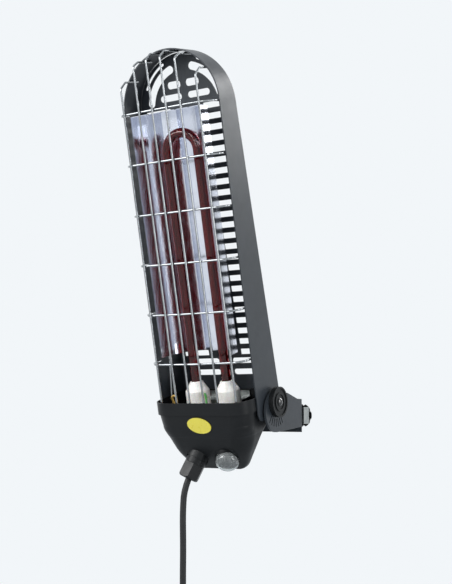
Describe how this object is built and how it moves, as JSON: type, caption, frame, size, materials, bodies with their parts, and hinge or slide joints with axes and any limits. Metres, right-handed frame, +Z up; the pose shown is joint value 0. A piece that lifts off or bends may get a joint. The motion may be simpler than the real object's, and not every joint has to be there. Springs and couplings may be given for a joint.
{
  "type": "parasol heater",
  "caption": "Tilting quartz infrared parasol heater with arched black hood, wire guard and one-sided pole clamp",
  "frame": {"origin": "on the axis of the pole clamp, at the middle of its height", "axes": "+Z up along the pole, -Y the way the heater faces, +X to the hinge side"},
  "size_m": [0.228, 0.2752, 0.8187],
  "materials": {
    "charcoal_paint": "satin",
    "polished_reflector": "polished",
    "zinc_steel": "satin",
    "chrome_wire": "polished",
    "ruby_glass": "clear",
    "tungsten": "satin",
    "white_ceramic": "satin",
    "black_plastic": "satin",
    "yellow_plate": "gloss",
    "clear_boot": "clear",
    "black_rubber": "matte",
    "gloss_black": "gloss",
    "brass_pins": "polished"
  },
  "bodies": {
    "bracket": {"bracket_arm": "charcoal_paint", "hinge_bolt": "zinc_steel", "pole_saddle": "black_plastic", "clamp_bolts": "zinc_steel", "friction_washer": "black_rubber", "cord_lead": "black_rubber", "cord_coil": "black_rubber", "cord_tie": "black_rubber", "plug_body": "black_rubber", "plug_pins": "brass_pins"},
    "head": {"side_band": "charcoal_paint", "back_panel": "charcoal_paint", "reflector": "polished_reflector", "reflector_stays": "zinc_steel", "wire_guard": "chrome_wire", "quartz_lamp": "ruby_glass", "filament": "tungsten", "ceramic_holder_left": "white_ceramic", "ceramic_holder_right": "white_ceramic", "holder_plate": "zinc_steel", "terminal_block": "white_ceramic", "support_rod": "chrome_wire", "base_cup": "black_plastic", "cup_rear_cover": "black_plastic", "badge": "yellow_plate", "switch_bezel": "black_plastic", "switch_boot": "clear_boot", "switch_body": "black_plastic", "gland_body": "black_plastic", "gland_nut": "black_plastic", "gland_seal": "black_rubber", "panel_screws": "zinc_steel", "band_screws": "zinc_steel"},
    "tilt_knob": {"tilt_knob": "black_plastic", "knob_cap": "gloss_black"},
    "jaw": {"rear_jaw": "zinc_steel", "clamp_washer_right": "zinc_steel", "clamp_washer_left": "zinc_steel"},
    "knob_right": {"clamp_knob_right": "black_plastic"},
    "knob_left": {"clamp_knob_left": "black_plastic"},
    "button": {"push_button": "black_plastic"}
  },
  "joints": [
    {"name": "head_tilt", "type": "hinge", "parent": "bracket", "child": "head", "pos_m": [-0.017, -0.0916, 0.0169], "axis": [1, 0, 0], "range_deg": [-13.5, 31.5], "deforming": ["cord_lead"]},
    {"name": "tilt_knob_turn", "type": "hinge", "parent": "bracket", "child": "tilt_knob", "pos_m": [0.061, -0.0916, 0.0169], "axis": [1, 0, 0], "range_deg": [-180, 180]},
    {"name": "jaw_slide", "type": "slide", "parent": "bracket", "child": "jaw", "axis": [0, 1, 0], "range_m": [0, 0.008]},
    {"name": "knob_right_turn", "type": "hinge", "parent": "jaw", "child": "knob_right", "pos_m": [0.045, 0, 0], "axis": [0, 1, 0], "range_deg": [0, 360]},
    {"name": "knob_left_turn", "type": "hinge", "parent": "jaw", "child": "knob_left", "pos_m": [-0.045, 0, 0], "axis": [0, 1, 0], "range_deg": [0, 360]},
    {"name": "switch_press", "type": "slide", "parent": "head", "child": "button", "axis": [-0.3008, 0.5689, 0.7655], "range_m": [0, 0.0025], "stiffness_N_per_m": 500, "springref_m": -0.001}
  ]
}
